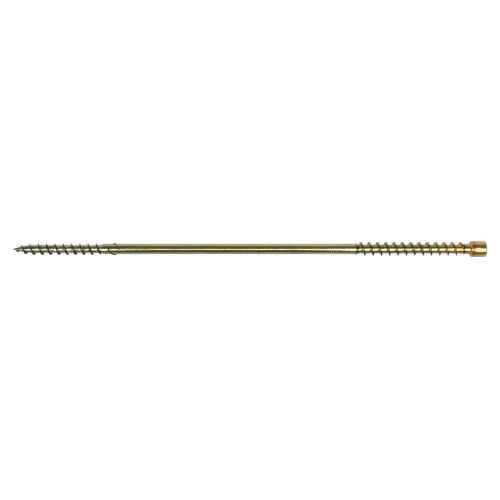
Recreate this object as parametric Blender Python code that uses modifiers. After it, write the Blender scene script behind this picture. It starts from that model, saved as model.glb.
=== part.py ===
"""A double-threaded wood screw of yellow-plated steel, lying at rest on the plane z = 0.

The screw is modelled upright, with its point at the local origin and its head on top, as it would be
turned and rolled. An empty then lays it down along +X, where the rim of its head and the crests of its
point thread carry it. Sizes are in metres, and the runs at the ends of a ridge are in turns.
"""

import math
from collections.abc import Callable
from dataclasses import dataclass

import bmesh
import bpy

# Overall
SCREW_LENGTH = 0.300

# Head, neck and the low shoulder between the neck and the thread
HEAD_DIAMETER = 0.0100
HEAD_HEIGHT = 0.0100
HEAD_RIM_CHAMFER = 0.0007
HEAD_EDGE_ROUNDING = 0.0007
NECK_DIAMETER = 0.0063
NECK_LENGTH = 0.0039
NECK_FILLET = 0.0003
SHOULDER_DIAMETER = 0.0059
SHOULDER_LENGTH = 0.0019
STEP_CHAMFER = 0.0002

# Six-lobe drive recess in the end of the head
DRIVE_ACROSS_LOBES = 0.00675
DRIVE_ACROSS_VALLEYS = 0.00485
DRIVE_DEPTH = 0.0050
DRIVE_LOBES = 6

# Plain shank, with the low ring where the thread under the head starts
SHANK_DIAMETER = 0.0065
RING_HEIGHT = 0.0003
RING_WIDTH = 0.0012

# Thread under the head
HEAD_THREAD_DIAMETER = 0.0090
HEAD_THREAD_CORE = 0.0055
HEAD_THREAD_LENGTH = 0.0681
HEAD_THREAD_PITCH = 0.00527
HEAD_THREAD_CREST = 0.00032
HEAD_THREAD_ANGLE = math.radians(36.0)
HEAD_THREAD_PHASE = math.radians(223.0)
HEAD_THREAD_RUN_IN = 0.60
HEAD_THREAD_RUN_OUT = 0.22
HEAD_THREAD_ON_SHOULDER = 0.0015

# Thread behind the point
POINT_THREAD_DIAMETER = 0.0075
POINT_THREAD_CORE = 0.0049
POINT_THREAD_START = 0.0012
POINT_THREAD_LENGTH = 0.0565
POINT_THREAD_PITCH = 0.00528
POINT_THREAD_CREST = 0.00024
POINT_THREAD_ANGLE = math.radians(38.0)
POINT_THREAD_PHASE = math.radians(130.0)
POINT_THREAD_RUN_IN = 0.45
POINT_THREAD_RUN_OUT = 0.45

# Point: the core and the crests each close to it along a curve of their own
POINT_CORE_LENGTH = 0.0120
POINT_CORE_FULLNESS = 1.25
POINT_CREST_LENGTH = 0.0140
POINT_CREST_FULLNESS = 1.65

# Slot along the point, which cuts the wood fibres
SLOT_LENGTH = 0.0130
SLOT_RUN_OUT = 0.0030
SLOT_DIRECTION = math.radians(137.0)
SLOT_FLOOR_RADIUS = 0.0010
SLOT_SIDE = 0.0060

# Cutter: steep ribs on the shank, just behind its flare from the core of the point thread
FLARE_UNDER_THREAD = 0.0020
FLARE_LENGTH = 0.0027
RIB_COUNT = 2
RIB_SET_BACK = 0.0011
RIB_LENGTH = 0.0078
RIB_LEAD = 0.0160
RIB_HEIGHT = 0.0006
RIB_CREST = 0.00020
RIB_ANGLE = math.radians(60.0)
RIB_PHASE = math.radians(144.5)
RIB_RUN = 0.11

# How deep a ridge is rooted in the core, how far its ends sink in, and how far a cutter overshoots
RIDGE_ROOT = 0.00025
RIDGE_SINK = 0.00008
CUTTER_OVERSHOOT = 0.0010

# Facets
TURNED_FACETS = 22
THREAD_FACETS = 18
NOSE_RINGS = 7
ROUNDING_STEPS = 3
POINTS_PER_LOBE = 12
SMOOTH_ANGLE = math.radians(30.0)

# Places along the axis, worked out from the sizes above
HEAD_UNDERSIDE = SCREW_LENGTH - HEAD_HEIGHT
NECK_START = HEAD_UNDERSIDE - NECK_LENGTH
SHOULDER_START = NECK_START - SHOULDER_LENGTH
HEAD_THREAD_START = SHOULDER_START + HEAD_THREAD_ON_SHOULDER - HEAD_THREAD_LENGTH
POINT_THREAD_END = POINT_THREAD_START + POINT_THREAD_LENGTH
FLARE_START = POINT_THREAD_END - FLARE_UNDER_THREAD
FLARE_END = FLARE_START + FLARE_LENGTH
RIB_START = FLARE_END + RIB_SET_BACK

# Finish
YELLOW_ZINC = (0.45, 0.36, 0.16, 1.0)
YELLOW_ZINC_ROUGHNESS = 0.3


@dataclass
class Ridge:
    """A helical ridge round the screw, with its crest radius given along the axis."""

    name: str
    start: float
    length: float
    lead: float
    phase: float
    run_in: float
    run_out: float
    full_height: float
    crest_width: float
    flank_angle: float
    crest_radius: Callable[[float], float]


def clear_scene():
    for obj in list(bpy.data.objects):
        bpy.data.objects.remove(obj, do_unlink=True)


def new_collection(name):
    collection = bpy.data.collections.new(name)
    bpy.context.scene.collection.children.link(collection)
    return collection


def yellow_zinc_material():
    material = bpy.data.materials.new("yellow_zinc")
    material.use_nodes = True
    shader = material.node_tree.nodes["Principled BSDF"]
    shader.inputs["Base Color"].default_value = YELLOW_ZINC
    shader.inputs["Metallic"].default_value = 1.0
    shader.inputs["Roughness"].default_value = YELLOW_ZINC_ROUGHNESS
    return material


def nose_radius(distance, length, full_radius, fullness):
    """Radius of a pointed nose at a distance from its tip: a superellipse, fuller than a cone."""
    share = max(0.0, 1.0 - distance / length)
    return full_radius * (1.0 - share**fullness) ** (1.0 / fullness)


def arc(centre, radius, start_angle, end_angle):
    """Points along an arc in the (radius, height) plane of the outline."""
    points = []
    for step in range(ROUNDING_STEPS + 1):
        angle = start_angle + (end_angle - start_angle) * step / ROUNDING_STEPS
        points.append((centre[0] + radius * math.cos(angle), centre[1] + radius * math.sin(angle)))
    return points


def point_outline():
    """The pointed end of the core, as (radius, height) from the tip up."""
    core = POINT_THREAD_CORE / 2
    outline = []
    for step in range(NOSE_RINGS + 1):
        height = POINT_CORE_LENGTH * (step / NOSE_RINGS) ** 1.5
        radius = nose_radius(height, POINT_CORE_LENGTH, core, POINT_CORE_FULLNESS)
        outline.append((radius, height))
    return outline


def shank_outline():
    """From the end of the point thread's core to the start of the neck."""
    shank = SHANK_DIAMETER / 2
    ring = shank + RING_HEIGHT
    shoulder = SHOULDER_DIAMETER / 2
    head_core = HEAD_THREAD_CORE / 2
    ring_end = HEAD_THREAD_START + RING_WIDTH
    return [
        (POINT_THREAD_CORE / 2, FLARE_START),
        (shank, FLARE_END),
        (shank, HEAD_THREAD_START),
        (ring, HEAD_THREAD_START + STEP_CHAMFER),
        (ring, ring_end - STEP_CHAMFER),
        (head_core, ring_end),
        (head_core, SHOULDER_START - STEP_CHAMFER),
        (shoulder, SHOULDER_START),
        (shoulder, NECK_START - STEP_CHAMFER),
    ]


def head_outline():
    """The neck and the head, up to the middle of the end face."""
    head = HEAD_DIAMETER / 2
    neck = NECK_DIAMETER / 2
    fillet_centre = (neck + NECK_FILLET, HEAD_UNDERSIDE - NECK_FILLET)
    edge_centre = (head - HEAD_EDGE_ROUNDING, SCREW_LENGTH - HEAD_EDGE_ROUNDING)
    outline = [(neck, NECK_START)]
    outline += arc(fillet_centre, NECK_FILLET, math.pi, math.pi / 2)
    outline.append((head - HEAD_RIM_CHAMFER, HEAD_UNDERSIDE))
    outline.append((head, HEAD_UNDERSIDE + HEAD_RIM_CHAMFER))
    outline += arc(edge_centre, HEAD_EDGE_ROUNDING, 0.0, math.pi / 2)
    outline.append((0.0, SCREW_LENGTH))
    return outline


def radius_at(outline, height):
    """The turned radius at a height, between the two outline points that hold it."""
    for (radius_a, height_a), (radius_b, height_b) in zip(outline, outline[1:]):
        if height_a <= height < height_b:
            share = (height - height_a) / (height_b - height_a)
            return radius_a + share * (radius_b - radius_a)
    return 0.0


def turned_body(outline, collection):
    """The screw without its threads, turned from its outline, with a corner of its facets facing down."""
    mesh = bpy.data.meshes.new("double_threaded_screw")
    points = [(radius, 0.0, height) for radius, height in reversed(outline)]
    edges = [(index, index + 1) for index in range(len(points) - 1)]
    mesh.from_pydata(points, edges, [])
    body = bpy.data.objects.new("double_threaded_screw", mesh)
    collection.objects.link(body)
    turn = body.modifiers.new("turn", "SCREW")
    turn.axis = "Z"
    turn.angle = math.tau
    turn.steps = TURNED_FACETS
    turn.render_steps = TURNED_FACETS
    turn.use_merge_vertices = True
    turn.merge_threshold = 0.000001
    return body


def ridge_section(ridge, cutters):
    """The section of a ridge as a curve: its crest is at the origin and it widens down to its root."""
    crest = ridge.crest_width / 2
    root = crest + ridge.full_height * math.tan(ridge.flank_angle / 2)
    corners = [
        (0.0, -crest),
        (0.0, crest),
        (-ridge.full_height, root),
        (-ridge.full_height, -root),
    ]
    curve = bpy.data.curves.new("ridge_section", "CURVE")
    curve.dimensions = "2D"
    spline = curve.splines.new("POLY")
    spline.points.add(len(corners) - 1)
    spline.use_cyclic_u = True
    for point, (outward, along) in zip(spline.points, corners):
        point.co = (outward, along, 0.0, 1.0)
    section = bpy.data.objects.new("ridge_section", curve)
    cutters.objects.link(section)
    return section


def crest_line(ridge, outline):
    """Points along a ridge's crest, each with the share of the full section that stands there."""
    rise = ridge.lead / THREAD_FACETS
    steps = round(ridge.length / rise)
    line = []
    for step in range(steps + 1):
        height = ridge.start + rise * step
        angle = ridge.phase + math.tau * step / THREAD_FACETS
        turns_in = step / THREAD_FACETS
        turns_left = (steps - step) / THREAD_FACETS
        share = min(1.0, turns_in / ridge.run_in, turns_left / ridge.run_out)
        core = radius_at(outline, height)
        sunk = core - RIDGE_SINK
        crest = sunk + share * (ridge.crest_radius(height) - sunk)
        root = min(core, crest) - RIDGE_ROOT
        place = (crest * math.cos(angle), crest * math.sin(angle), height)
        line.append((place, (crest - root) / ridge.full_height))
    return line


def swept_ridge(ridge, outline, cutters):
    """A ridge as a closed mesh: its section swept along its crest line, upright all the way."""
    section = ridge_section(ridge, cutters)
    curve = bpy.data.curves.new(ridge.name, "CURVE")
    curve.dimensions = "3D"
    curve.twist_mode = "Z_UP"
    curve.bevel_mode = "OBJECT"
    curve.bevel_object = section
    curve.use_fill_caps = True
    line = crest_line(ridge, outline)
    spline = curve.splines.new("POLY")
    spline.points.add(len(line) - 1)
    for point, (place, scale) in zip(spline.points, line):
        point.co = (*place, 1.0)
        point.radius = scale
    swept = bpy.data.objects.new(ridge.name, curve)
    cutters.objects.link(swept)
    solid = solid_from_curve(swept, cutters)
    bpy.data.objects.remove(section, do_unlink=True)
    return solid


def solid_from_curve(curve_object, cutters):
    """The curve's solid as a mesh object in the same place, with its caps welded."""
    bpy.context.view_layer.update()
    graph = bpy.context.evaluated_depsgraph_get()
    mesh = bpy.data.meshes.new_from_object(curve_object.evaluated_get(graph))
    welded = bmesh.new()
    welded.from_mesh(mesh)
    bmesh.ops.remove_doubles(welded, verts=welded.verts, dist=0.000001)
    bmesh.ops.recalc_face_normals(welded, faces=welded.faces)
    welded.to_mesh(mesh)
    welded.free()
    solid = bpy.data.objects.new(curve_object.name, mesh)
    solid.matrix_world = curve_object.matrix_world
    bpy.data.objects.remove(curve_object, do_unlink=True)
    cutters.objects.link(solid)
    hide_helper(solid)
    return solid


def hide_helper(helper):
    helper.hide_render = True
    helper.display_type = "WIRE"


def point_thread(outline, cutters):
    full = POINT_THREAD_DIAMETER / 2

    def crest_radius(height):
        return nose_radius(height, POINT_CREST_LENGTH, full, POINT_CREST_FULLNESS)

    ridge = Ridge(
        name="point_thread",
        start=POINT_THREAD_START,
        length=POINT_THREAD_LENGTH,
        lead=POINT_THREAD_PITCH,
        phase=POINT_THREAD_PHASE,
        run_in=POINT_THREAD_RUN_IN,
        run_out=POINT_THREAD_RUN_OUT,
        full_height=full - POINT_THREAD_CORE / 2 + RIDGE_ROOT,
        crest_width=POINT_THREAD_CREST,
        flank_angle=POINT_THREAD_ANGLE,
        crest_radius=crest_radius,
    )
    return swept_ridge(ridge, outline, cutters)


def head_thread(outline, cutters):
    full = HEAD_THREAD_DIAMETER / 2
    ridge = Ridge(
        name="head_thread",
        start=HEAD_THREAD_START,
        length=HEAD_THREAD_LENGTH,
        lead=HEAD_THREAD_PITCH,
        phase=HEAD_THREAD_PHASE,
        run_in=HEAD_THREAD_RUN_IN,
        run_out=HEAD_THREAD_RUN_OUT,
        full_height=full - HEAD_THREAD_CORE / 2 + RIDGE_ROOT,
        crest_width=HEAD_THREAD_CREST,
        flank_angle=HEAD_THREAD_ANGLE,
        crest_radius=lambda height: full,
    )
    return swept_ridge(ridge, outline, cutters)


def cutter_rib(index, outline, cutters):
    ridge = Ridge(
        name=f"cutter_rib_{index}",
        start=RIB_START,
        length=RIB_LENGTH,
        lead=RIB_LEAD,
        phase=RIB_PHASE + math.tau * index / RIB_COUNT,
        run_in=RIB_RUN,
        run_out=RIB_RUN,
        full_height=RIB_HEIGHT + RIDGE_ROOT,
        crest_width=RIB_CREST,
        flank_angle=RIB_ANGLE,
        crest_radius=lambda height: SHANK_DIAMETER / 2 + RIB_HEIGHT,
    )
    return swept_ridge(ridge, outline, cutters)


def drive_recess(cutters):
    """The cutter of the six-lobe recess, a lobed outline extruded down from above the head."""
    mean_radius = (DRIVE_ACROSS_LOBES + DRIVE_ACROSS_VALLEYS) / 4
    swing = (DRIVE_ACROSS_LOBES - DRIVE_ACROSS_VALLEYS) / 4
    count = DRIVE_LOBES * POINTS_PER_LOBE
    curve = bpy.data.curves.new("drive_recess", "CURVE")
    curve.dimensions = "2D"
    curve.fill_mode = "BOTH"
    curve.extrude = (DRIVE_DEPTH + CUTTER_OVERSHOOT) / 2
    spline = curve.splines.new("POLY")
    spline.points.add(count - 1)
    spline.use_cyclic_u = True
    for index, point in enumerate(spline.points):
        angle = math.tau * index / count
        radius = mean_radius + swing * math.cos(DRIVE_LOBES * angle)
        point.co = (radius * math.cos(angle), radius * math.sin(angle), 0.0, 1.0)
    recess = bpy.data.objects.new("drive_recess", curve)
    recess.location.z = SCREW_LENGTH + (CUTTER_OVERSHOOT - DRIVE_DEPTH) / 2
    cutters.objects.link(recess)
    return solid_from_curve(recess, cutters)


def point_slot(cutters):
    """The cutter of the fibre slot: a square bar with one edge along the slot's floor."""
    bar = bmesh.new()
    bmesh.ops.create_cube(bar, size=1.0)
    for vertex in bar.verts:
        side_a = vertex.co.x + 0.5
        side_b = vertex.co.y + 0.5
        sloped_end = SLOT_LENGTH + SLOT_RUN_OUT * max(side_a, side_b)
        height = sloped_end if vertex.co.z > 0.0 else -CUTTER_OVERSHOOT
        vertex.co = (SLOT_SIDE * side_a, SLOT_SIDE * side_b, height)
    mesh = bpy.data.meshes.new("point_slot")
    bar.to_mesh(mesh)
    bar.free()
    slot = bpy.data.objects.new("point_slot", mesh)
    slot.location.x = SLOT_FLOOR_RADIUS * math.cos(SLOT_DIRECTION)
    slot.location.y = SLOT_FLOOR_RADIUS * math.sin(SLOT_DIRECTION)
    slot.rotation_euler.z = SLOT_DIRECTION - math.pi / 4
    cutters.objects.link(slot)
    hide_helper(slot)
    return slot


def add_boolean(body, other, operation):
    boolean = body.modifiers.new(other.name, "BOOLEAN")
    boolean.operation = operation
    boolean.solver = "EXACT"
    boolean.object = other


def finish_surface(body):
    """Applies the modifiers, and shades the screw smooth up to its real edges."""
    bpy.context.view_layer.update()
    graph = bpy.context.evaluated_depsgraph_get()
    mesh = bpy.data.meshes.new_from_object(body.evaluated_get(graph))
    body.modifiers.clear()
    body.data = mesh
    mesh.shade_smooth()
    mesh.set_sharp_from_angle(angle=SMOOTH_ANGLE)


def lay_down(pieces):
    """Rests the screw on three points: the head's rim, and the ends of a crest facet near its point."""
    head_rim = HEAD_DIAMETER / 2
    head_contact = HEAD_UNDERSIDE + HEAD_RIM_CHAMFER
    crest_flat = POINT_THREAD_DIAMETER / 2 * math.cos(math.pi / THREAD_FACETS)
    tilt = math.atan2(head_rim - crest_flat, head_contact - POINT_CREST_LENGTH)
    end_face_radius = HEAD_DIAMETER / 2 - HEAD_EDGE_ROUNDING
    reach = SCREW_LENGTH * math.cos(tilt) + end_face_radius * math.sin(tilt)
    rest = bpy.data.objects.new("rest", None)
    rest.location.x = -reach / 2
    rest.location.z = crest_flat * math.cos(tilt) - POINT_CREST_LENGTH * math.sin(tilt)
    rest.rotation_euler.y = math.pi / 2 - tilt
    bpy.context.scene.collection.objects.link(rest)
    for piece in pieces:
        piece.parent = rest


def main():
    clear_scene()
    parts = new_collection("double_threaded_wood_screw")
    cutters = new_collection("cutters")
    outline = point_outline() + shank_outline() + head_outline()
    body = turned_body(outline, parts)
    body.data.materials.append(yellow_zinc_material())
    add_boolean(body, point_thread(outline, cutters), "UNION")
    add_boolean(body, head_thread(outline, cutters), "UNION")
    for index in range(RIB_COUNT):
        add_boolean(body, cutter_rib(index, outline, cutters), "UNION")
    add_boolean(body, drive_recess(cutters), "DIFFERENCE")
    add_boolean(body, point_slot(cutters), "DIFFERENCE")
    finish_surface(body)
    lay_down([body, *cutters.objects])


main()
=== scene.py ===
"""A double-threaded wood screw of yellow zinc-plated steel, lying on a pale floor and seen from above."""

import math

import bmesh
import bpy
import numpy as np
from mathutils import Matrix, Vector


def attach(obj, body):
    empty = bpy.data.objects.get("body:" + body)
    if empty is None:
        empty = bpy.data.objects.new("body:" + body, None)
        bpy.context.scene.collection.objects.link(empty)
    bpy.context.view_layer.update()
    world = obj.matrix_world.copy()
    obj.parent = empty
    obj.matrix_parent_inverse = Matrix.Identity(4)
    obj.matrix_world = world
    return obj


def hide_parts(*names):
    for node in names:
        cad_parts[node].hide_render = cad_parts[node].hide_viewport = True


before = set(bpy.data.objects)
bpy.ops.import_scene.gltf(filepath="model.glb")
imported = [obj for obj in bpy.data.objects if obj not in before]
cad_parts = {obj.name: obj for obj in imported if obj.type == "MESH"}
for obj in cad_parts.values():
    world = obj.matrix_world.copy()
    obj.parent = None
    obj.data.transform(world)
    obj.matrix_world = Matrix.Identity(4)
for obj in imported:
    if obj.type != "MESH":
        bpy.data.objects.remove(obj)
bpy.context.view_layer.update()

SCREW_NODE = "double_threaded_screw"

# Sizes of the head, the shank and the ring in metres, the same as the solid's
SCREW_LENGTH = 0.300
HEAD_DIAMETER = 0.0100
HEAD_HEIGHT = 0.0100
HEAD_RIM_CHAMFER = 0.0007
HEAD_EDGE_ROUNDING = 0.0007
NECK_DIAMETER = 0.0063
NECK_LENGTH = 0.0039
NECK_FILLET = 0.0003
SHOULDER_DIAMETER = 0.0059
SHOULDER_LENGTH = 0.0019
STEP_CHAMFER = 0.0002
DRIVE_ACROSS_LOBES = 0.00675
DRIVE_ACROSS_VALLEYS = 0.00485
DRIVE_DEPTH = 0.0050
DRIVE_LOBES = 6
SHANK_DIAMETER = 0.0065
RING_HEIGHT = 0.0003
RING_WIDTH = 0.0012

# Thread under the head. The runs in and out of a thread are in turns.
HEAD_THREAD_DIAMETER = 0.0090
HEAD_THREAD_CORE = 0.0055
HEAD_THREAD_LENGTH = 0.0681
HEAD_THREAD_PITCH = 0.00527
HEAD_THREAD_CREST = 0.00032
HEAD_THREAD_ANGLE = math.radians(36.0)
HEAD_THREAD_PHASE = math.radians(223.0)
HEAD_THREAD_RUN_IN = 0.60
HEAD_THREAD_RUN_OUT = 0.22
HEAD_THREAD_ON_SHOULDER = 0.0015

# Thread behind the point
POINT_THREAD_DIAMETER = 0.0075
POINT_THREAD_CORE = 0.0049
POINT_THREAD_START = 0.0012
POINT_THREAD_LENGTH = 0.0565
POINT_THREAD_PITCH = 0.00528
POINT_THREAD_CREST = 0.00024
POINT_THREAD_ANGLE = math.radians(38.0)
POINT_THREAD_PHASE = math.radians(130.0)
POINT_THREAD_RUN_IN = 0.45
POINT_THREAD_RUN_OUT = 0.45

# The point's tapered core and crests, and the slot along it, whose cutter starts before the tip
POINT_CORE_LENGTH = 0.0120
POINT_CORE_FULLNESS = 1.25
POINT_CREST_LENGTH = 0.0140
POINT_CREST_FULLNESS = 1.65
SLOT_LENGTH = 0.0130
SLOT_RUN_OUT = 0.0030
SLOT_DIRECTION = math.radians(137.0)
SLOT_FLOOR_RADIUS = 0.0010
SLOT_SIDE = 0.0060
SLOT_OVERRUN = 0.0010

# Flare from the core to the shank, and the cutter ribs behind it
FLARE_UNDER_THREAD = 0.0020
FLARE_LENGTH = 0.0027
FLARE_SOFTNESS = 0.04
RIB_COUNT = 2
RIB_SET_BACK = 0.0011
RIB_LENGTH = 0.0078
RIB_LEAD = 0.0160
RIB_HEIGHT = 0.0006
RIB_CREST = 0.00020
RIB_ANGLE = math.radians(60.0)
RIB_PHASE = math.radians(144.5)
RIB_RUN = 0.11

# The facets of the solid where it touches the floor: they set how the screw lies
SOLID_THREAD_FACETS = 18

# Places along the axis
HEAD_UNDERSIDE = SCREW_LENGTH - HEAD_HEIGHT
NECK_START = HEAD_UNDERSIDE - NECK_LENGTH
SHOULDER_START = NECK_START - SHOULDER_LENGTH
HEAD_BAND_END = NECK_START - STEP_CHAMFER * 1.5
HEAD_THREAD_START = SHOULDER_START + HEAD_THREAD_ON_SHOULDER - HEAD_THREAD_LENGTH
RING_END = HEAD_THREAD_START + RING_WIDTH
POINT_THREAD_END = POINT_THREAD_START + POINT_THREAD_LENGTH
FLARE_START = POINT_THREAD_END - FLARE_UNDER_THREAD
FLARE_END = FLARE_START + FLARE_LENGTH
RIB_START = FLARE_END + RIB_SET_BACK
RIB_END = RIB_START + RIB_LENGTH

# How softly the skin's ridges meet the core, and how its edges are eased
THREAD_FILLET = 0.00016
RIB_FILLET = 0.00010
CREST_ROUNDING = 0.00005
RIDGE_SINK = 0.00010
DRIVE_MOUTH_CHAMFER = 0.00015
EDGE_SOFTNESS = 0.00008
RIM_EASE_OUTWARD = EDGE_SOFTNESS * 0.5
RIM_EASE_UPWARD = EDGE_SOFTNESS * 0.35
RING_EDGE_DROP = 0.00004
RING_EDGE_START = STEP_CHAMFER * 0.8
RING_EDGE_END = STEP_CHAMFER * 1.3

# How finely the skin is drawn round the axis and along it
COLUMNS = 120
RIB_COLUMN_CROWDING = 1.9
RIB_ROWS = 60
SHANK_RINGS = 30
NECK_FILLET_STEPS = 5
HEAD_EDGE_STEPS = 8
RING_BEFORE_RIBS = 0.0005
RING_AFTER_RIBS = 0.0006
SHANK_RINGS_AFTER_RIBS = 0.0020
SHANK_RINGS_BEFORE_THREAD = 0.0003

# Rows of points beside a crest's middle, as shares of the half crest, the flank, the fillet and the groove
CREST_ROW = 0.75
FLANK_ROWS = (0.03, 0.12, 0.45, 0.78)
FILLET_ROWS = (-0.35, 0.15, 0.8, 2.0)
FILLET_REACH = THREAD_FILLET * 0.8
GROOVE_ROW = 0.55

# Turns of rows past the ends of a thread's band, and the least crest and ridge that rows are spread over
SPARE_TURNS = 2
LEAST_CREST_SHARE = 0.15
LEAST_RIDGE = 0.00002

# How the skin is cleaned, and from which angle between faces an edge is sharp
MERGE_DISTANCE = 0.0000015
LEAST_EDGE = 0.0000002
SHARP_ANGLE = math.radians(42.0)

# How the slot's faces are found: how near to a side of the slot they lie, and how squarely they face its way
SLOT_FACE_GAP = 0.000002
SLOT_FACE_SQUARENESS = 0.9999

# Colours of the plating at places from the point, and what it reflects at a glancing angle
PLATING_COLOURS = [
    (0.000, (0.06, 0.06, 0.06)),
    (0.003, (0.10, 0.10, 0.09)),
    (0.006, (0.24, 0.235, 0.18)),
    (0.052, (0.22, 0.21, 0.14)),
    (0.060, (0.28, 0.27, 0.17)),
    (0.080, (0.31, 0.29, 0.14)),
    (0.160, (0.33, 0.30, 0.14)),
    (0.200, (0.38, 0.34, 0.19)),
    (0.225, (0.28, 0.255, 0.13)),
    (0.262, (0.29, 0.245, 0.12)),
    (0.278, (0.38, 0.26, 0.11)),
    (0.292, (0.48, 0.28, 0.10)),
]
EDGE_TINT = (0.10, 0.10, 0.08, 1.0)

# What the plating's colour is multiplied by in its stains, patches and specks, and for the painted light and
# painted shade on its flanks
DARK_TINT = (0.34, 0.30, 0.26, 1.0)
ROSY_TINT = (1.07, 0.96, 1.02, 1.0)
GREEN_TINT = (0.88, 1.02, 0.78, 1.0)
SPECK_AND_PAINTED_LIGHT_TINT = (2.3, 2.4, 2.4, 1.0)
PAINTED_SHADE_TINT = (0.15, 0.13, 0.10, 1.0)

# Noises over the plating: how often each repeats in a metre, along the screw and across it, and how fine
STREAKS = {"along": 60.0, "across": 1500.0, "detail": 3.0, "roughness": 0.5}
PATCHES = {"along": 220.0, "across": 500.0, "detail": 4.0, "roughness": 0.6}
SPOTS = {"along": 620.0, "across": 950.0, "detail": 3.0, "roughness": 0.65}

# The ranges of a noise over which a mark comes in, and how strong it then is
PATCH_RANGE = (0.42, 0.60)
STREAK_RANGE = (0.48, 0.70)
STREAK_STRENGTH = 0.6
SPOT_RANGE = (0.52, 0.66)
SPOT_STRENGTH = 0.9
SPECK_RANGE = (0.40, 0.47)
SPECK_UNEVENNESS = (1.0, 1.8)

# Roughness of the plating at places from the point, how patchy it is, and what a pressed face adds
PLATING_ROUGHNESS = [
    (0.000, 0.24),
    (0.052, 0.22),
    (0.060, 0.13),
    (0.222, 0.13),
    (0.230, 0.22),
    (0.285, 0.24),
    (0.292, 0.29),
]
ROUGH_PATCH_RANGE = (0.3, 0.7)
ROUGH_PATCH_SHARES = (0.75, 1.25)
PRESSED_ROUGHNESS = 0.35

# Unevenness of the plating at places from the point, and its depth in metres
PLATING_UNEVENNESS = [
    (0.000, 0.7),
    (0.022, 1.2),
    (0.034, 2.2),
    (0.054, 1.8),
    (0.060, 0.12),
    (0.222, 0.12),
    (0.235, 0.9),
    (0.280, 0.8),
    (0.292, 0.8),
]
UNEVENNESS_DEPTH = 0.000025

# The clear film over the plating at places from the point, and what the flanks with painted shade and the
# slot keep of it
FILM_SHARES = [
    (0.000, 0.20),
    (0.055, 0.30),
    (0.062, 0.45),
    (0.220, 0.45),
    (0.228, 0.30),
    (0.285, 0.40),
    (0.292, 0.80),
]
FILM_LEFT = 0.1
FILM_IOR = 1.6
FILM_ROUGHNESS = 0.12

# Dark lines round the screw at its steps, the last one painted shade on the head's rounded end: their
# places, half widths and share of the colour
DARK_LINES = [
    HEAD_THREAD_START,
    HEAD_THREAD_START + RING_WIDTH * 1.1,
    SHOULDER_START,
    NECK_START,
    HEAD_UNDERSIDE,
    HEAD_UNDERSIDE + HEAD_RIM_CHAMFER * 2,
    # Painted shade on the head's rounded end, which darkens its outline
    SCREW_LENGTH - HEAD_EDGE_ROUNDING * 0.6,
]
DARK_LINE_CORE = 0.0002
DARK_LINE_EDGE = 0.0006
DARK_LINE_SHADE = 0.22

# Painted shade on a flank on the side of the head and on a crest on top, and painted light on a flank on the
# other side
PAINTED_FLANK_SHADE = 1.0
PAINTED_CREST_SHADE = 0.4
PAINTED_FLANK_LIGHT = 0.30

# The shares of a ridge's height over which the painted flank shade and light fade, at the foot and towards
# the crest, and the least height that a ridge at the point counts for
FLANK_FOOT = 0.08
FLANK_TOP = 0.30
LEAST_POINT_RIDGE = 0.0004

# Floor, just under the lowest crest: its colour, and the light of its own, near and far from the screw
FLOOR_HEIGHT = -0.00006
FLOOR_HALF_SIDE = 20.0
FLOOR_COLOUR = (0.30, 0.30, 0.30, 1.0)
FLOOR_LIFT = (0.78, 0.90)
FLOOR_LIFT_REACH = (0.2, 1.8)

# Studio: walls and ceilings, each near the picture's lower edge and far from it, and where they meet
NEAR_WALL = (0.95, 0.95, 0.95, 1.0)
FAR_WALL = (2.2, 2.2, 2.2, 1.0)
NEAR_CEILING = (0.17, 0.16, 0.12, 1.0)
FAR_CEILING = (0.27, 0.26, 0.21, 1.0)
NEAR_TO_FAR = (-0.25, 0.25)
WALL_TOP = (math.radians(5.0), math.radians(17.0))

# Soft boxes: how far each leans from straight above, its reach along the screw, its width and its radiance
SOFT_BOX_DISTANCE = 1.0
POINT_BOX = {"angle": math.radians(17.0), "reach": (-1.30, -0.24), "width": 0.62, "radiance": 6.0}
SHANK_BOX = {"angle": math.radians(7.0), "reach": (-0.23, 0.15), "width": 0.20, "radiance": 4.8}
HEAD_BOX = {"angle": math.radians(14.0), "reach": (0.16, 0.48), "width": 0.70, "radiance": 8.5}

# Camera: straight above, at the distance where the screw is as long as in the photograph
PIXEL = 0.0006337
PICTURE_WIDTH = 500
CAMERA_HEIGHT = 0.645
VIEW_CENTRE = (1.25 * PIXEL, -0.85 * PIXEL)
VIEW_PLANE = HEAD_DIAMETER * 0.45
SENSOR_WIDTH = 36.0
CLIP_START = 0.01
CLIP_END = 20.0

# The colour sockets of a Mix node, by number, because its number and vector sockets have the same names
MIX_INPUTS = (0, 6, 7)
MIX_OUTPUT = 2


def nose_radius(place, length, full_radius, fullness):
    """Radius of a pointed nose at places along the axis: a superellipse, fuller than a cone."""
    share = np.clip(1.0 - place / length, 0.0, 1.0)
    return full_radius * (1.0 - share**fullness) ** (1.0 / fullness)


def smooth_max(a, b, size):
    return (a + b + np.sqrt((a - b) ** 2 + size**2)) / 2


def smooth_min(a, b, size):
    return (a + b - np.sqrt((a - b) ** 2 + size**2)) / 2


class Skin:
    """The screw's surface while it is drawn: rings and strips of points round its axis."""

    def __init__(self):
        self.points = []
        self.faces = []

    def add_points(self, radius, angle, place):
        """Adds points and gives their numbers, in the arrays' own shape."""
        radius, angle, place = np.broadcast_arrays(radius, angle, place)
        numbers = np.arange(radius.size).reshape(radius.shape) + len(self.points)
        for r, a, z in zip(radius.ravel(), angle.ravel(), place.ravel()):
            self.points.append((r * math.cos(a), r * math.sin(a), z))
        return numbers

    def add_quads(self, a, b, c, d):
        for quad in zip(a.ravel(), b.ravel(), c.ravel(), d.ravel()):
            self.faces.append([int(number) for number in quad])

    def join(self, lower, upper, shift=0):
        """Fills the band between two rings of equally many points."""
        upper = np.roll(upper, -shift)
        self.add_quads(lower, np.roll(lower, -1), np.roll(upper, -1), upper)


def even_angles():
    return np.arange(COLUMNS) * math.tau / COLUMNS


def add_rings(skin, rings, below):
    """Joins rings, (radius, place) pairs, upwards from the ring below. Gives the last one's numbers."""
    for radius, place in rings:
        ring = skin.add_points(radius, even_angles(), place)
        skin.join(below, ring)
        below = ring
    return below


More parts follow.
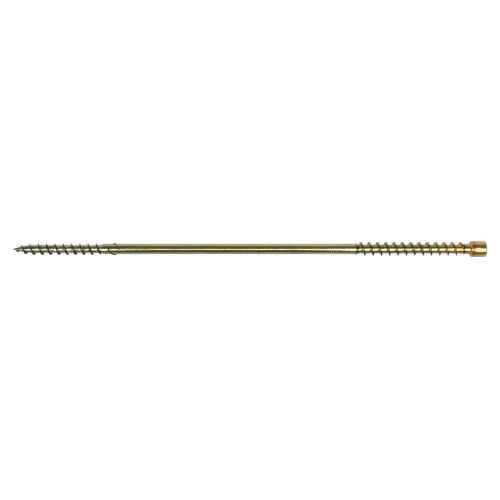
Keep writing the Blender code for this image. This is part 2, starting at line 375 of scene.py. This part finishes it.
def ridge_share(turns, length_in_turns, run_in, run_out):
    """How much of the full ridge stands at a number of turns from its start."""
    share = np.minimum(turns / run_in, (length_in_turns - turns) / run_out)
    return np.clip(share, 0.0, 1.0)


def ridge_rows(half_crest, root, half_pitch):
    """Offsets of the rows of points from the middle of a crest, from one mid-pitch to the next."""
    flank = root - half_crest
    right = [np.zeros_like(root), half_crest * CREST_ROW]
    right += [half_crest + flank * share for share in FLANK_ROWS]
    right += [root + FILLET_REACH * share for share in FILLET_ROWS]
    right += [root + (half_pitch - root) * GROOVE_ROW]
    left = [-offset for offset in reversed(right[1:])]
    return [-half_pitch * np.ones_like(root)] + left + right


def thread_rows(core, crest_radius, sizes, start, end):
    """Places and radii of the rows of points that wind along a thread, within its band of the skin."""
    pitch = sizes["pitch"]
    first = math.floor((start - sizes["start"]) / pitch) - SPARE_TURNS
    last = math.ceil((end - sizes["start"]) / pitch) + SPARE_TURNS
    length_in_turns = sizes["length"] / pitch
    tangent = math.tan(sizes["angle"] / 2)
    places = []
    radii = []
    for turn in range(first, last):
        turns = (even_angles() - sizes["phase"]) / math.tau + turn
        middle = sizes["start"] + pitch * turns
        share = ridge_share(turns, length_in_turns, sizes["run_in"], sizes["run_out"])
        standing = (turns >= 0.0) & (turns <= length_in_turns)
        base = core(middle)
        top = base - RIDGE_SINK + share * (crest_radius(middle) - base + RIDGE_SINK)
        half_crest = sizes["crest"] / 2 * np.clip(share, LEAST_CREST_SHARE, 1.0)
        root = half_crest + np.maximum(top - base, LEAST_RIDGE) * tangent
        for offset in ridge_rows(half_crest, root, pitch / 2):
            place = np.clip(middle + offset, start, end)
            flank = top - (np.abs(place - middle) - half_crest) / tangent
            ridge = smooth_min(top, flank, CREST_ROUNDING)
            bump = smooth_max(ridge - core(place), 0.0, THREAD_FILLET)
            places.append(place)
            radii.append(core(place) + bump * standing)
    return np.array(places), np.array(radii)


def add_thread(skin, core, crest_radius, sizes, start, end):
    """The band of the skin from start to end that a thread winds round. Gives its last ring's numbers."""
    place, radius = thread_rows(core, crest_radius, sizes, start, end)
    numbers = skin.add_points(radius, np.broadcast_to(even_angles(), place.shape), place)
    skin.add_quads(numbers[:-1, :-1], numbers[:-1, 1:], numbers[1:, 1:], numbers[1:, :-1])
    # The last column meets the first one a whole turn further along
    per_turn = len(ridge_rows(np.zeros(1), np.ones(1), 1.0))
    low = numbers[: -1 - per_turn, -1]
    low_next = numbers[1:-per_turn, -1]
    high = numbers[per_turn:-1, 0]
    high_next = numbers[per_turn + 1 :, 0]
    skin.add_quads(low, high, high_next, low_next)
    return numbers[-1]


def point_core(place):
    """Radius of the core from the point to the end of the flare."""
    nose = nose_radius(place, POINT_CORE_LENGTH, POINT_THREAD_CORE / 2, POINT_CORE_FULLNESS)
    rise = np.clip((place - FLARE_START) / FLARE_LENGTH, 0.0, 1.0)
    rise = rise - FLARE_SOFTNESS * np.sin(rise * math.tau)
    return nose + rise * (SHANK_DIAMETER - POINT_THREAD_CORE) / 2


def point_crest(place):
    return nose_radius(place, POINT_CREST_LENGTH, POINT_THREAD_DIAMETER / 2, POINT_CREST_FULLNESS)


def point_thread_sizes():
    return {
        "start": POINT_THREAD_START,
        "length": POINT_THREAD_LENGTH,
        "pitch": POINT_THREAD_PITCH,
        "phase": POINT_THREAD_PHASE,
        "crest": POINT_THREAD_CREST,
        "angle": POINT_THREAD_ANGLE,
        "run_in": POINT_THREAD_RUN_IN,
        "run_out": POINT_THREAD_RUN_OUT,
    }


def head_thread_sizes():
    return {
        "start": HEAD_THREAD_START,
        "length": HEAD_THREAD_LENGTH,
        "pitch": HEAD_THREAD_PITCH,
        "phase": HEAD_THREAD_PHASE,
        "crest": HEAD_THREAD_CREST,
        "angle": HEAD_THREAD_ANGLE,
        "run_in": HEAD_THREAD_RUN_IN,
        "run_out": HEAD_THREAD_RUN_OUT,
    }


def head_core(place):
    """Radius from the end of the ring to the start of the neck: the thread's core and the shoulder."""
    step = np.clip((place - SHOULDER_START + STEP_CHAMFER) / STEP_CHAMFER, 0.0, 1.0)
    return HEAD_THREAD_CORE / 2 + step * (SHOULDER_DIAMETER - HEAD_THREAD_CORE) / 2


def head_crest(place):
    return np.full_like(place, HEAD_THREAD_DIAMETER / 2)


def rib_columns():
    """Angles of the columns from a rib's crest, closest together on its flanks."""
    half = math.pi / RIB_COUNT
    per_side = COLUMNS // RIB_COUNT // 2
    steps = np.arange(1, per_side) / per_side
    right = half * steps**RIB_COLUMN_CROWDING
    return np.concatenate([[-half], -right[::-1], [0.0], right])


def rib_radius(from_crest, share):
    """Radius round the cutter at angles from a rib's crest, where a share of the full rib stands."""
    shank = SHANK_DIAMETER / 2
    across = np.abs(from_crest) * shank * math.sin(math.atan2(RIB_LEAD, math.tau * shank))
    top = -RIDGE_SINK + share * (RIB_HEIGHT + RIDGE_SINK)
    flank = top - (across - RIB_CREST / 2 * share) / math.tan(RIB_ANGLE / 2)
    ridge = smooth_min(top, flank, CREST_ROUNDING)
    standing = 1.0 if share > 0.0 else 0.0
    return shank + smooth_max(ridge, 0.0, RIB_FILLET) * standing


def nearest_shift(lower, upper):
    """The shift that lines one ring's angles up best with another's."""
    worst = []
    for shift in range(len(upper)):
        gap = (np.roll(upper, -shift) - lower + math.pi) % math.tau - math.pi
        worst.append(np.abs(gap).max())
    return int(np.argmin(worst))


def add_cutter(skin, below):
    """The plain band behind the flare, with its steep ribs. Its columns wind along with the ribs."""
    pattern = rib_columns()
    from_crest = np.concatenate([pattern] * RIB_COUNT)
    offsets = np.concatenate([pattern + math.tau * index / RIB_COUNT for index in range(RIB_COUNT)])
    angles = []
    rings = []
    for place in np.linspace(RIB_START, RIB_END, RIB_ROWS + 1):
        turns = (place - RIB_START) / RIB_LEAD
        share = min(1.0, turns / RIB_RUN, (RIB_LENGTH / RIB_LEAD - turns) / RIB_RUN)
        angles.append(offsets + (RIB_PHASE + math.tau * turns))
        rings.append(skin.add_points(rib_radius(from_crest, share), angles[-1], place))
    skin.join(below, rings[0], nearest_shift(even_angles(), angles[0]))
    for lower, upper in zip(rings, rings[1:]):
        skin.join(lower, upper)
    after = skin.add_points(SHANK_DIAMETER / 2, even_angles(), RIB_END + RING_AFTER_RIBS)
    skin.join(rings[-1], after, nearest_shift(angles[-1], even_angles()))
    return after


def shank_rings():
    """(radius, place) pairs from the cutter along the shank and over the ring at its end."""
    shank = SHANK_DIAMETER / 2
    ring = shank + RING_HEIGHT
    first = RIB_END + SHANK_RINGS_AFTER_RIBS
    last = HEAD_THREAD_START - SHANK_RINGS_BEFORE_THREAD
    rings = [(shank, place) for place in np.linspace(first, last, SHANK_RINGS)]
    rings += [
        (shank, HEAD_THREAD_START),
        (ring - RING_EDGE_DROP, HEAD_THREAD_START + RING_EDGE_START),
        (ring, HEAD_THREAD_START + RING_EDGE_END),
        (ring, RING_END - RING_EDGE_END),
        (ring - RING_EDGE_DROP, RING_END - RING_EDGE_START),
        (HEAD_THREAD_CORE / 2, RING_END),
    ]
    return rings


def arc(centre, radius, start_angle, end_angle, steps):
    """(radius, place) pairs along an arc of the outline."""
    angles = np.linspace(start_angle, end_angle, steps + 1)
    return [(centre[0] + radius * math.cos(a), centre[1] + radius * math.sin(a)) for a in angles]


def head_rings():
    """(radius, place) pairs from the shoulder along the neck and over the cylinder head."""
    head = HEAD_DIAMETER / 2
    neck = NECK_DIAMETER / 2
    fillet_centre = (neck + NECK_FILLET, HEAD_UNDERSIDE - NECK_FILLET)
    edge_centre = (head - HEAD_EDGE_ROUNDING, SCREW_LENGTH - HEAD_EDGE_ROUNDING)
    rings = [
        (SHOULDER_DIAMETER / 2, NECK_START - STEP_CHAMFER),
        (neck, NECK_START),
        (neck, (NECK_START + HEAD_UNDERSIDE) / 2),
    ]
    rings += arc(fillet_centre, NECK_FILLET, math.pi, math.pi / 2, NECK_FILLET_STEPS)
    rings += [
        (head - HEAD_RIM_CHAMFER - EDGE_SOFTNESS, HEAD_UNDERSIDE),
        (head - HEAD_RIM_CHAMFER + RIM_EASE_OUTWARD, HEAD_UNDERSIDE + RIM_EASE_UPWARD),
        (head - EDGE_SOFTNESS, HEAD_UNDERSIDE + HEAD_RIM_CHAMFER - EDGE_SOFTNESS),
        (head, HEAD_UNDERSIDE + HEAD_RIM_CHAMFER + EDGE_SOFTNESS),
        (head, (HEAD_UNDERSIDE + SCREW_LENGTH) / 2),
    ]
    rings += arc(edge_centre, HEAD_EDGE_ROUNDING, 0.0, math.pi / 2, HEAD_EDGE_STEPS)
    return rings


def drive_rings():
    """(radius, place) pairs down the six-lobe drive recess to the middle of its floor."""
    mean = (DRIVE_ACROSS_LOBES + DRIVE_ACROSS_VALLEYS) / 4
    swing = (DRIVE_ACROSS_LOBES - DRIVE_ACROSS_VALLEYS) / 4
    lobes = mean + swing * np.cos(DRIVE_LOBES * even_angles())
    bottom = SCREW_LENGTH - DRIVE_DEPTH
    return [
        (lobes + DRIVE_MOUTH_CHAMFER, SCREW_LENGTH),
        (lobes, SCREW_LENGTH - DRIVE_MOUTH_CHAMFER),
        (lobes, bottom + EDGE_SOFTNESS),
        (lobes - EDGE_SOFTNESS, bottom),
        (lobes / 2, bottom),
        (0.0, bottom),
    ]


def screw_skin():
    """All points and faces of the screw, upright, with its point at the origin.

    The head thread's band starts in the same places as the shank's last ring, and merges with it later.
    """
    skin = Skin()
    below = add_thread(skin, point_core, point_crest, point_thread_sizes(), 0.0, FLARE_END)
    below = add_rings(skin, [(SHANK_DIAMETER / 2, RIB_START - RING_BEFORE_RIBS)], below)
    below = add_cutter(skin, below)
    add_rings(skin, shank_rings(), below)
    below = add_thread(skin, head_core, head_crest, head_thread_sizes(), RING_END, HEAD_BAND_END)
    add_rings(skin, head_rings() + drive_rings(), below)
    return skin


def rest_pose():
    """How the screw lies: on its head's rim and on the first full crests of its point thread."""
    head_rim = HEAD_DIAMETER / 2
    head_contact = HEAD_UNDERSIDE + HEAD_RIM_CHAMFER
    crest = POINT_THREAD_DIAMETER / 2 * math.cos(math.pi / SOLID_THREAD_FACETS)
    tilt = math.atan2(head_rim - crest, head_contact - POINT_CREST_LENGTH)
    reach = SCREW_LENGTH * math.cos(tilt) + (head_rim - HEAD_EDGE_ROUNDING) * math.sin(tilt)
    height = crest * math.cos(tilt) - POINT_CREST_LENGTH * math.sin(tilt)
    return Matrix.Translation((-reach / 2, 0.0, height)) @ Matrix.Rotation(math.pi / 2 - tilt, 4, "Y")


def outward(angle):
    """The direction away from the upright screw's axis at an angle round it."""
    return Vector((math.cos(angle), math.sin(angle), 0.0))


def slot_cutter():
    """A square bar with one edge along the slot's floor."""
    bar = bmesh.new()
    bmesh.ops.create_cube(bar, size=1.0)
    for vertex in bar.verts:
        side_a = vertex.co.x + 0.5
        side_b = vertex.co.y + 0.5
        sloped_end = SLOT_LENGTH + SLOT_RUN_OUT * max(side_a, side_b)
        height = sloped_end if vertex.co.z > 0.0 else -SLOT_OVERRUN
        vertex.co = (SLOT_SIDE * side_a, SLOT_SIDE * side_b, height)
    floor = outward(SLOT_DIRECTION) * SLOT_FLOOR_RADIUS
    bar.transform(Matrix.Translation(floor) @ Matrix.Rotation(SLOT_DIRECTION - math.pi / 4, 4, "Z"))
    mesh = bpy.data.meshes.new("slot_cutter")
    bar.to_mesh(mesh)
    bar.free()
    cutter = bpy.data.objects.new("slot_cutter", mesh)
    bpy.context.scene.collection.objects.link(cutter)
    return cutter


def screw_mesh(skin):
    """The skin as a mesh, with its doubled points merged and its faces turned outwards."""
    mesh = bpy.data.meshes.new("screw")
    mesh.from_pydata(skin.points, [], skin.faces)
    work = bmesh.new()
    work.from_mesh(mesh)
    bmesh.ops.remove_doubles(work, verts=work.verts, dist=MERGE_DISTANCE)
    bmesh.ops.dissolve_degenerate(work, edges=work.edges, dist=LEAST_EDGE)
    bmesh.ops.recalc_face_normals(work, faces=work.faces)
    work.to_mesh(mesh)
    work.free()
    return mesh


def cut_slot(screw):
    """Cuts the slot along the point, and leaves the result as the screw's own mesh."""
    cutter = slot_cutter()
    cut = screw.modifiers.new("slot", "BOOLEAN")
    cut.operation = "DIFFERENCE"
    cut.solver = "EXACT"
    cut.object = cutter
    bpy.context.view_layer.update()
    graph = bpy.context.evaluated_depsgraph_get()
    mesh = bpy.data.meshes.new_from_object(screw.evaluated_get(graph))
    screw.modifiers.clear()
    screw.data = mesh
    bpy.data.objects.remove(cutter, do_unlink=True)


def ridge_heights(radius, place):
    """How high points stand on their ridge of the upright screw, from 0 at its foot to 1 at its crest."""
    point_ridge = np.maximum(point_crest(place) - point_core(place), LEAST_POINT_RIDGE)
    on_point = (radius - point_core(place)) / point_ridge
    on_rib = (radius - SHANK_DIAMETER / 2) / RIB_HEIGHT
    on_head = (radius - head_core(place)) / (head_crest(place) - head_core(place))
    height = np.where(place < POINT_THREAD_END, on_point, on_rib)
    height = np.where(place > RING_END, on_head, height)
    return np.where(place > HEAD_BAND_END, 0.0, height)


def mark_painted_flank_shade(mesh):
    """Notes at each point of the upright screw its painted flank shade, from -1 for painted light to 1 for
    painted shade.

    A flank gets painted shade on the side of the head and painted light on the side of the point, and a
    crest some painted shade. A cutter rib is all painted shade.
    """
    points = np.array([vertex.co for vertex in mesh.vertices])
    place = points[:, 2]
    height = ridge_heights(np.hypot(points[:, 0], points[:, 1]), place)
    off_foot = np.clip(height / FLANK_FOOT, 0.0, 1.0)
    off_crest = np.clip((1.0 - height) / FLANK_TOP, 0.0, 1.0)
    towards_head = np.array([vertex.normal.z for vertex in mesh.vertices])
    side = np.where(towards_head > 0.0, 1.0, -1.0)
    # Painted shade on the flanks towards the head and on the crests, painted light on the flanks towards the
    # point
    on_thread = off_crest * side + (1.0 - off_crest) * PAINTED_CREST_SHADE
    on_cutter = (place > FLARE_END) & (place < RIB_END)
    shade = off_foot * np.where(on_cutter, 1.0, on_thread)
    attribute = mesh.attributes.new("painted_flank_shade", "FLOAT", "POINT")
    attribute.data.foreach_set("value", shade.astype(np.float32))


def mark_slot(mesh):
    """Notes on each face of the upright screw whether it is in the slot, which is pressed and not rolled."""
    corner = outward(SLOT_DIRECTION) * SLOT_FLOOR_RADIUS
    sides = [outward(SLOT_DIRECTION - math.pi / 4), outward(SLOT_DIRECTION + math.pi / 4)]
    attribute = mesh.attributes.new("pressed_face", "FLOAT", "FACE")
    for face in mesh.polygons:
        gap = abs((face.center - corner).dot(face.normal))
        square = max(face.normal.dot(side) for side in sides)
        if face.center.z < SLOT_LENGTH and gap < SLOT_FACE_GAP and square > SLOT_FACE_SQUARENESS:
            attribute.data[face.index].value = 1.0


def make_screw(material):
    screw = bpy.data.objects.new("screw", screw_mesh(screw_skin()))
    bpy.context.scene.collection.objects.link(screw)
    screw.data.materials.append(material)
    cut_slot(screw)
    mark_painted_flank_shade(screw.data)
    mark_slot(screw.data)
    screw.data.transform(rest_pose())
    screw.data.shade_smooth()
    screw.data.set_sharp_from_angle(angle=SHARP_ANGLE)
    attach(screw, "root")
    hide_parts(SCREW_NODE)


def new_material(name):
    """A new material. Gives it, its node tree and its shader."""
    material = bpy.data.materials.new(name)
    material.use_nodes = True
    return material, material.node_tree, material.node_tree.nodes["Principled BSDF"]


def feed(tree, value, socket):
    """Gives an input its value: another node's output, or a fixed value."""
    if isinstance(value, bpy.types.NodeSocket):
        tree.links.new(value, socket)
    else:
        socket.default_value = value


def noise(tree, where, kind):
    """A noise of one kind over the given coordinates. Gives its value."""
    mapping = tree.nodes.new("ShaderNodeMapping")
    mapping.inputs["Scale"].default_value = (kind["along"], kind["across"], kind["across"])
    tree.links.new(where, mapping.inputs["Vector"])
    texture = tree.nodes.new("ShaderNodeTexNoise")
    texture.inputs["Scale"].default_value = 1.0
    texture.inputs["Detail"].default_value = kind["detail"]
    texture.inputs["Roughness"].default_value = kind["roughness"]
    tree.links.new(mapping.outputs["Vector"], texture.inputs["Vector"])
    return texture.outputs["Fac"]


def mapped(tree, value, before, after):
    """The value carried over from one range to another, and held at its ends."""
    ramp = tree.nodes.new("ShaderNodeMapRange")
    for name, limit in zip(("From Min", "From Max", "To Min", "To Max"), (*before, *after)):
        ramp.inputs[name].default_value = limit
    tree.links.new(value, ramp.inputs["Value"])
    return ramp.outputs["Result"]


def mixed(tree, share, first, second, blend="MIX"):
    """Two colours mixed. Each of them, and the share, is an output or a fixed value."""
    mix = tree.nodes.new("ShaderNodeMix")
    mix.data_type = "RGBA"
    mix.blend_type = blend
    for number, value in zip(MIX_INPUTS, (share, first, second)):
        feed(tree, value, mix.inputs[number])
    return mix.outputs[MIX_OUTPUT]


def tinted(tree, colour, tint):
    """A colour multiplied by another."""
    return mixed(tree, 1.0, colour, tint, "MULTIPLY")


def calculated(tree, operation, first, second):
    """An operation on two values. Each of them is an output or a fixed value."""
    node = tree.nodes.new("ShaderNodeMath")
    node.operation = operation
    feed(tree, first, node.inputs[0])
    feed(tree, second, node.inputs[1])
    return node.outputs["Value"]


def product(tree, first, second):
    return calculated(tree, "MULTIPLY", first, second)


def total(tree, first, second):
    return calculated(tree, "ADD", first, second)


def ramp_along(tree, along, stops):
    """Colours or values that change from the point to the head, given at places from the point."""
    ramp = tree.nodes.new("ShaderNodeValToRGB")
    elements = ramp.color_ramp.elements
    elements.remove(elements[1])
    for index, (place, wanted) in enumerate(stops):
        share = min(place / SCREW_LENGTH, 1.0)
        stop = elements[0] if index == 0 else elements.new(share)
        stop.position = share
        stop.color = (*wanted, 1.0) if isinstance(wanted, tuple) else (wanted, wanted, wanted, 1.0)
    tree.links.new(along, ramp.inputs["Fac"])
    return ramp.outputs["Color"]


def dark_line_stops():
    """What stays of the colour along the screw: all of it, except on the dark lines."""
    line = [
        (-DARK_LINE_EDGE, 1.0),
        (-DARK_LINE_CORE, DARK_LINE_SHADE),
        (DARK_LINE_CORE, DARK_LINE_SHADE),
        (DARK_LINE_EDGE, 1.0),
    ]
    return [(0.0, 1.0)] + [(place + offset, shade) for place in DARK_LINES for offset, shade in line]


def noted(tree, name):
    """What the mesh has noted under a name."""
    node = tree.nodes.new("ShaderNodeAttribute")
    node.attribute_name = name
    return node.outputs["Fac"]


def plating_marks(tree):
    """What the plating's colour, roughness, film and dents share, by name.

    The value "along" runs from 0 at the point to 1 at the head's end.
    """
    where = tree.nodes.new("ShaderNodeTexCoord").outputs["Object"]
    split = tree.nodes.new("ShaderNodeSeparateXYZ")
    tree.links.new(where, split.inputs["Vector"])
    along = mapped(tree, split.outputs["X"], (-SCREW_LENGTH / 2, SCREW_LENGTH / 2), (0.0, 1.0))
    return {
        "along": along,
        "colour": ramp_along(tree, along, PLATING_COLOURS),
        "unevenness": ramp_along(tree, along, PLATING_UNEVENNESS),
        "dark_lines": ramp_along(tree, along, dark_line_stops()),
        "streaks": noise(tree, where, STREAKS),
        "patches": noise(tree, where, PATCHES),
        "spots": noise(tree, where, SPOTS),
        "flank": noted(tree, "painted_flank_shade"),
        "pressed": noted(tree, "pressed_face"),
    }


def stained(tree, marks):
    """The plating's colour with its rosy and green patches, dark streaks and spots, and bright specks."""
    colour = marks["colour"]
    dark = tinted(tree, colour, DARK_TINT)
    patches = mapped(tree, marks["patches"], PATCH_RANGE, (0.0, 1.0))
    patched = mixed(tree, patches, tinted(tree, colour, GREEN_TINT), tinted(tree, colour, ROSY_TINT))
    streaks = mapped(tree, marks["streaks"], STREAK_RANGE, (0.0, STREAK_STRENGTH))
    streaked = mixed(tree, streaks, patched, dark)
    spots = mapped(tree, marks["spots"], SPOT_RANGE, (0.0, SPOT_STRENGTH))
    spotted = mixed(tree, product(tree, spots, marks["unevenness"]), streaked, dark)
    specks = mapped(tree, marks["spots"], SPECK_RANGE, (1.0, 0.0))
    where_uneven = mapped(tree, marks["unevenness"], SPECK_UNEVENNESS, (0.0, 1.0))
    bright = tinted(tree, colour, SPECK_AND_PAINTED_LIGHT_TINT)
    return mixed(tree, product(tree, specks, where_uneven), spotted, bright)


def with_painted_flank_light_and_shade(tree, marks, colour):
    """A colour with painted light on the flanks towards the point and painted shade on those towards the
    head and on the crests.
    """
    # Painted light and painted shade, mixed in from the flank marks in the mesh
    light = mapped(tree, marks["flank"], (-1.0, 0.0), (PAINTED_FLANK_LIGHT, 0.0))
    shade = mapped(tree, marks["flank"], (0.0, 1.0), (0.0, PAINTED_FLANK_SHADE))
    lit = mixed(tree, light, colour, tinted(tree, marks["colour"], SPECK_AND_PAINTED_LIGHT_TINT))
    return mixed(tree, shade, lit, tinted(tree, marks["colour"], PAINTED_SHADE_TINT))


def plating_colour(tree, marks):
    """The rolled surface with its stains and its painted flank light and shade, the slot's dark faces, and
    the dark lines over both.
    """
    rolled = with_painted_flank_light_and_shade(tree, marks, stained(tree, marks))
    pressed = tinted(tree, marks["colour"], DARK_TINT)
    return tinted(tree, mixed(tree, marks["pressed"], rolled, pressed), marks["dark_lines"])


def plating_roughness(tree, marks):
    """Roughness along the screw, patchy, and greater on the slot's faces."""
    patchy = mapped(tree, marks["patches"], ROUGH_PATCH_RANGE, ROUGH_PATCH_SHARES)
    rolled = product(tree, ramp_along(tree, marks["along"], PLATING_ROUGHNESS), patchy)
    return total(tree, rolled, product(tree, marks["pressed"], PRESSED_ROUGHNESS))


def film_share(tree, marks):
    """How much clear film there is, with less of it on the flanks with painted shade, on the slot's faces
    and on the dark lines.
    """
    bare = total(tree, marks["flank"], marks["pressed"])
    left = mapped(tree, bare, (0.0, 1.0), (1.0, FILM_LEFT))
    film = product(tree, ramp_along(tree, marks["along"], FILM_SHARES), left)
    return product(tree, film, marks["dark_lines"])


def plating_dents(tree, marks):
    """The fine dents of the plating, deepest where it is most uneven."""
    dents = product(tree, product(tree, marks["spots"], marks["unevenness"]), marks["unevenness"])
    bump = tree.nodes.new("ShaderNodeBump")
    bump.inputs["Strength"].default_value = 1.0
    bump.inputs["Distance"].default_value = UNEVENNESS_DEPTH
    tree.links.new(dents, bump.inputs["Height"])
    return bump.outputs["Normal"]


def yellow_zinc():
    """Yellow zinc plating under a thin clear film: olive at the point, copper gold at the head."""
    material, tree, shader = new_material("yellow_zinc")
    marks = plating_marks(tree)
    tree.links.new(plating_colour(tree, marks), shader.inputs["Base Color"])
    tree.links.new(plating_roughness(tree, marks), shader.inputs["Roughness"])
    tree.links.new(film_share(tree, marks), shader.inputs["Coat Weight"])
    tree.links.new(plating_dents(tree, marks), shader.inputs["Normal"])
    shader.inputs["Metallic"].default_value = 1.0
    shader.inputs["Specular Tint"].default_value = EDGE_TINT
    shader.inputs["Coat IOR"].default_value = FILM_IOR
    shader.inputs["Coat Roughness"].default_value = FILM_ROUGHNESS
    return material


def pale_floor():
    """A matt floor. Part of its paleness doesn't depend on the lamps, in the picture and in reflections."""
    material, tree, shader = new_material("pale_floor")
    shader.inputs["Base Color"].default_value = FLOOR_COLOUR
    shader.inputs["Roughness"].default_value = 1.0
    shader.inputs["Specular IOR Level"].default_value = 0.0
    shader.inputs["Emission Color"].default_value = (1.0, 1.0, 1.0, 1.0)
    rays = tree.nodes.new("ShaderNodeLightPath").outputs
    seen = total(tree, rays["Is Camera Ray"], rays["Is Glossy Ray"])
    seen = total(tree, seen, rays["Is Transmission Ray"])
    distance = tree.nodes.new("ShaderNodeVectorMath")
    distance.operation = "LENGTH"
    tree.links.new(tree.nodes.new("ShaderNodeTexCoord").outputs["Object"], distance.inputs[0])
    lift = mapped(tree, distance.outputs["Value"], FLOOR_LIFT_REACH, FLOOR_LIFT)
    tree.links.new(product(tree, seen, lift), shader.inputs["Emission Strength"])
    return material


def make_floor():
    """A wide pale floor that keeps the screw's shadow."""
    side = FLOOR_HALF_SIDE
    corners = [(-side, -side, 0.0), (side, -side, 0.0), (side, side, 0.0), (-side, side, 0.0)]
    mesh = bpy.data.meshes.new("floor")
    mesh.from_pydata(corners, [], [(0, 1, 2, 3)])
    mesh.materials.append(pale_floor())
    floor = bpy.data.objects.new("floor", mesh)
    floor.location.z = FLOOR_HEIGHT
    bpy.context.scene.collection.objects.link(floor)


def make_world():
    """A studio with pale walls along the horizon, the far one the palest, and dim ceilings above them."""
    world = bpy.data.worlds.new("studio")
    world.use_nodes = True
    tree = world.node_tree
    split = tree.nodes.new("ShaderNodeSeparateXYZ")
    tree.links.new(tree.nodes.new("ShaderNodeTexCoord").outputs["Generated"], split.inputs["Vector"])
    far = mapped(tree, split.outputs["Y"], NEAR_TO_FAR, (0.0, 1.0))
    walls = mixed(tree, far, NEAR_WALL, FAR_WALL)
    ceiling = mixed(tree, far, NEAR_CEILING, FAR_CEILING)
    heights = [math.sin(angle) for angle in WALL_TOP]
    above = mapped(tree, split.outputs["Z"], heights, (0.0, 1.0))
    tree.links.new(mixed(tree, above, walls, ceiling), tree.nodes["Background"].inputs["Color"])
    bpy.context.scene.world = world


def soft_box(name, sizes):
    """A soft box above and along the screw, leaning from straight above to the picture's lower edge."""
    start, end = sizes["reach"]
    length = end - start
    target = Vector(((start + end) / 2, 0.0, 0.0))
    upward = Vector((0.0, -math.sin(sizes["angle"]), math.cos(sizes["angle"])))
    data = bpy.data.lights.new(name, "AREA")
    data.shape = "RECTANGLE"
    data.size = length
    data.size_y = sizes["width"]
    data.energy = sizes["radiance"] * math.pi * length * sizes["width"]
    light = bpy.data.objects.new(name, data)
    light.location = target + upward * SOFT_BOX_DISTANCE
    light.rotation_euler = (-upward).to_track_quat("-Z", "Y").to_euler()
    bpy.context.scene.collection.objects.link(light)


def make_lights():
    """Three soft boxes in a row: a narrow one over the shank, and wider ones over the two ends."""
    soft_box("point_soft_box", POINT_BOX)
    soft_box("shank_soft_box", SHANK_BOX)
    soft_box("head_soft_box", HEAD_BOX)


def make_camera():
    """A camera straight above the screw, for which a pixel is PIXEL wide at the height of VIEW_PLANE."""
    data = bpy.data.cameras.new("camera")
    data.sensor_width = SENSOR_WIDTH
    data.lens = SENSOR_WIDTH * CAMERA_HEIGHT / (PICTURE_WIDTH * PIXEL)
    data.clip_start = CLIP_START
    data.clip_end = CLIP_END
    camera = bpy.data.objects.new("camera", data)
    camera.location = (*VIEW_CENTRE, VIEW_PLANE + CAMERA_HEIGHT)
    bpy.context.scene.collection.objects.link(camera)
    bpy.context.scene.camera = camera


make_screw(yellow_zinc())
make_floor()
make_world()
make_lights()
make_camera()
bpy.context.scene.view_settings.view_transform = "Standard"
